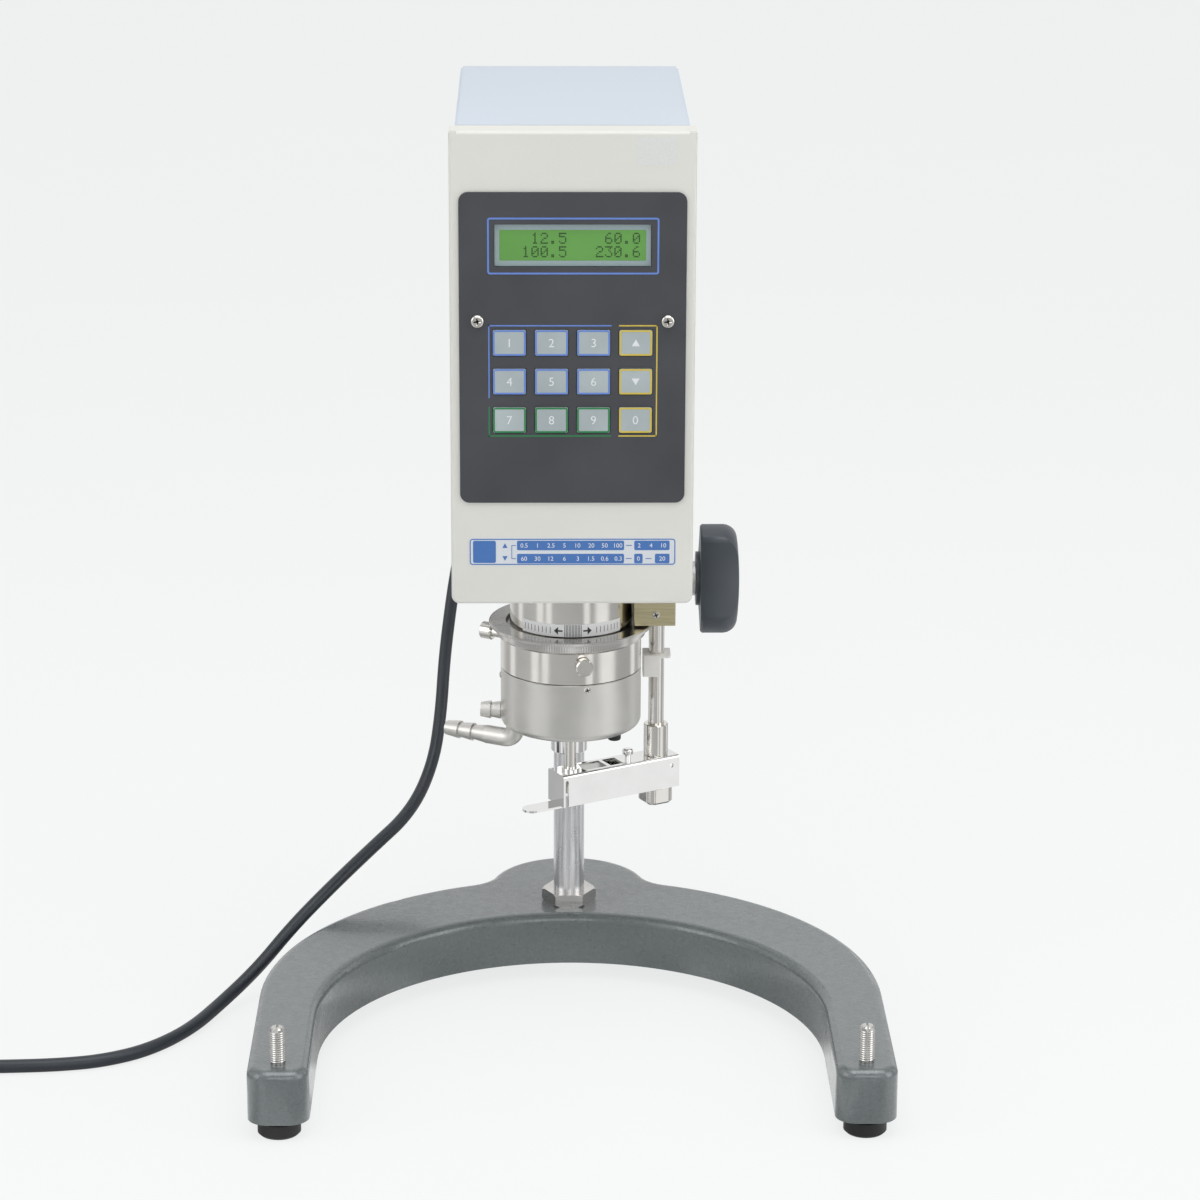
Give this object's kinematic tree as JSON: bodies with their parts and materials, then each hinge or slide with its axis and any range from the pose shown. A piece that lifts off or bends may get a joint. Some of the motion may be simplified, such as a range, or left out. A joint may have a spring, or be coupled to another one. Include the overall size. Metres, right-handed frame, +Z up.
{
  "type": "rotational viscometer",
  "caption": "Bench rotational viscometer: white head with display and keypad on a rack column, cone and jacketed cup below it, clamp arm, U-shaped grey base and black mains cord.",
  "frame": {"origin": "on the table, under the middle of the base", "axes": "+X right, +Y back, +Z up"},
  "size_m": [0.511, 0.3095, 0.421],
  "materials": {
    "hammer_paint": "hammertone",
    "cream_paint": "satin",
    "blue_grey_paint": "satin",
    "polished_steel": "polished",
    "satin_steel": "brushed",
    "satin_aluminium": "bead blasted",
    "brass": "satin",
    "gold_anodised": "gold anodised",
    "knob_black": "moulded",
    "panel_grey": "printed film",
    "key_grey": "printed film",
    "lcd_glass": "display",
    "pale_plastic": "moulded",
    "black_plastic": "moulded",
    "board_green": "solder mask",
    "black_rubber": "moulded",
    "spring_steel": "rolled"
  },
  "bodies": {
    "stand": {"base_casting": "hammer_paint", "column": "satin_steel", "column_nuts": "polished_steel", "rear_foot": "black_rubber", "power_cord": "black_rubber", "cord_coil": "black_rubber", "power_plug": "black_rubber"},
    "left_foot": {"levelling_screw_left": "satin_steel", "foot_pad_left": "black_rubber"},
    "right_foot": {"levelling_screw_right": "satin_steel", "foot_pad_right": "black_rubber"},
    "head": {"elevator_block": "satin_aluminium", "guide_tube": "polished_steel", "front_panel": "cream_paint", "rear_cover": "blue_grey_paint", "front_plate": "panel_grey", "panel_screws": "polished_steel", "display_module": "lcd_glass", "circuit_board": "board_green", "power_supply": "satin_steel", "cord_bushing": "black_plastic", "switch_frame": "black_plastic", "chassis": "satin_aluminium", "motor": "satin_steel", "spindle_bearings": "polished_steel", "neck": "polished_steel", "rod_block": "gold_anodised", "clamp_rod": "polished_steel", "rod_clip": "pale_plastic", "rod_nut": "polished_steel"},
    "lift": {"pinion_shaft": "satin_steel", "lift_knob": "knob_black"},
    "rocker": {"switch_rocker": "black_plastic"},
    "drive": {"drive_gear": "brass", "torsion_spring": "spring_steel"},
    "pinion": {"motor_pinion": "brass"},
    "spindle": {"spindle_shaft": "polished_steel", "cone_rotor": "polished_steel"},
    "ring": {"adjust_ring": "polished_steel"},
    "cup": {"cup_ring": "polished_steel", "thumb_screws": "polished_steel", "cup_jacket": "satin_aluminium", "sample_cup": "polished_steel", "hose_nozzles": "satin_aluminium", "cup_plug": "black_rubber"},
    "arm": {"clamp_arm": "polished_steel", "arm_bush": "polished_steel"},
    "pin": {"support_pin": "polished_steel"},
    "key_1_body": {"key_1": "key_grey"},
    "key_2_body": {"key_2": "key_grey"},
    "key_3_body": {"key_3": "key_grey"},
    "key_4_body": {"key_4": "key_grey"},
    "key_5_body": {"key_5": "key_grey"},
    "key_6_body": {"key_6": "key_grey"},
    "key_7_body": {"key_7": "key_grey"},
    "key_8_body": {"key_8": "key_grey"},
    "key_9_body": {"key_9": "key_grey"},
    "key_10_body": {"key_10": "key_grey"},
    "key_11_body": {"key_11": "key_grey"},
    "key_12_body": {"key_12": "key_grey"}
  },
  "joints": [
    {"name": "head_lift", "type": "slide", "parent": "stand", "child": "head", "axis": [0, 0, 1], "range_m": [-0.06, 0.045]},
    {"name": "knob_turn", "type": "hinge", "parent": "head", "child": "lift", "pos_m": [0.0604, 0.0849, 0.186], "axis": [1, 0, 0], "range_deg": [-430, 323]},
    {"name": "left_foot_turn", "type": "hinge", "parent": "stand", "child": "left_foot", "pos_m": [-0.12525, -0.1182, 0], "axis": [0, 0, 1], "continuous": true},
    {"name": "right_foot_turn", "type": "hinge", "parent": "stand", "child": "right_foot", "pos_m": [0.12525, -0.1182, 0], "axis": [0, 0, 1], "continuous": true},
    {"name": "rocker_tilt", "type": "hinge", "parent": "head", "child": "rocker", "pos_m": [0.028, 0.1067, 0.248], "axis": [1, 0, 0], "range_deg": [0, 17]},
    {"name": "drive_spin", "type": "hinge", "parent": "head", "child": "drive", "pos_m": [0, -0.008, 0.25], "axis": [0, 0, 1], "continuous": true},
    {"name": "motor_pinion_spin", "type": "hinge", "parent": "head", "child": "pinion", "pos_m": [0, 0.02225, 0.25], "axis": [0, 0, 1], "continuous": true},
    {"name": "spindle_twist", "type": "hinge", "parent": "drive", "child": "spindle", "pos_m": [0, -0.008, 0.25], "axis": [0, 0, 1], "range_deg": [-5, 85], "stiffness_Nm_per_rad": 0.01},
    {"name": "cup_gap", "type": "slide", "parent": "head", "child": "cup", "axis": [0, 0, 1], "range_m": [-0.0004, 0]},
    {"name": "ring_turn", "type": "hinge", "parent": "head", "child": "ring", "pos_m": [0, -0.008, 0.193], "axis": [0, 0, 1], "range_deg": [-290, 10]},
    {"name": "arm_swing", "type": "hinge", "parent": "head", "child": "arm", "pos_m": [0.0385, 0.0135, 0.12], "axis": [0, 0, 1], "range_deg": [0, 95]},
    {"name": "pin_press", "type": "slide", "parent": "arm", "child": "pin", "axis": [0, 0, 1], "range_m": [-0.003, 0], "stiffness_N_per_m": 300, "springref_m": 0.0005},
    {"name": "key_1_press", "type": "slide", "parent": "head", "child": "key_1_body", "axis": [0, 1, 0], "range_m": [0, 0.0004], "stiffness_N_per_m": 400, "springref_m": -0.0003},
    {"name": "key_2_press", "type": "slide", "parent": "head", "child": "key_2_body", "axis": [0, 1, 0], "range_m": [0, 0.0004], "stiffness_N_per_m": 400, "springref_m": -0.0003},
    {"name": "key_3_press", "type": "slide", "parent": "head", "child": "key_3_body", "axis": [0, 1, 0], "range_m": [0, 0.0004], "stiffness_N_per_m": 400, "springref_m": -0.0003},
    {"name": "key_4_press", "type": "slide", "parent": "head", "child": "key_4_body", "axis": [0, 1, 0], "range_m": [0, 0.0004], "stiffness_N_per_m": 400, "springref_m": -0.0003},
    {"name": "key_5_press", "type": "slide", "parent": "head", "child": "key_5_body", "axis": [0, 1, 0], "range_m": [0, 0.0004], "stiffness_N_per_m": 400, "springref_m": -0.0003},
    {"name": "key_6_press", "type": "slide", "parent": "head", "child": "key_6_body", "axis": [0, 1, 0], "range_m": [0, 0.0004], "stiffness_N_per_m": 400, "springref_m": -0.0003},
    {"name": "key_7_press", "type": "slide", "parent": "head", "child": "key_7_body", "axis": [0, 1, 0], "range_m": [0, 0.0004], "stiffness_N_per_m": 400, "springref_m": -0.0003},
    {"name": "key_8_press", "type": "slide", "parent": "head", "child": "key_8_body", "axis": [0, 1, 0], "range_m": [0, 0.0004], "stiffness_N_per_m": 400, "springref_m": -0.0003},
    {"name": "key_9_press", "type": "slide", "parent": "head", "child": "key_9_body", "axis": [0, 1, 0], "range_m": [0, 0.0004], "stiffness_N_per_m": 400, "springref_m": -0.0003},
    {"name": "key_10_press", "type": "slide", "parent": "head", "child": "key_10_body", "axis": [0, 1, 0], "range_m": [0, 0.0004], "stiffness_N_per_m": 400, "springref_m": -0.0003},
    {"name": "key_11_press", "type": "slide", "parent": "head", "child": "key_11_body", "axis": [0, 1, 0], "range_m": [0, 0.0004], "stiffness_N_per_m": 400, "springref_m": -0.0003},
    {"name": "key_12_press", "type": "slide", "parent": "head", "child": "key_12_body", "axis": [0, 1, 0], "range_m": [0, 0.0004], "stiffness_N_per_m": 400, "springref_m": -0.0003}
  ],
  "couplings": [
    {"joint": "knob_turn", "follows": "head_lift", "rad_per_m": 125},
    {"joint": "motor_pinion_spin", "follows": "drive_spin", "ratio": -4},
    {"joint": "ring_turn", "follows": "cup_gap", "rad_per_m": 12566}
  ]
}
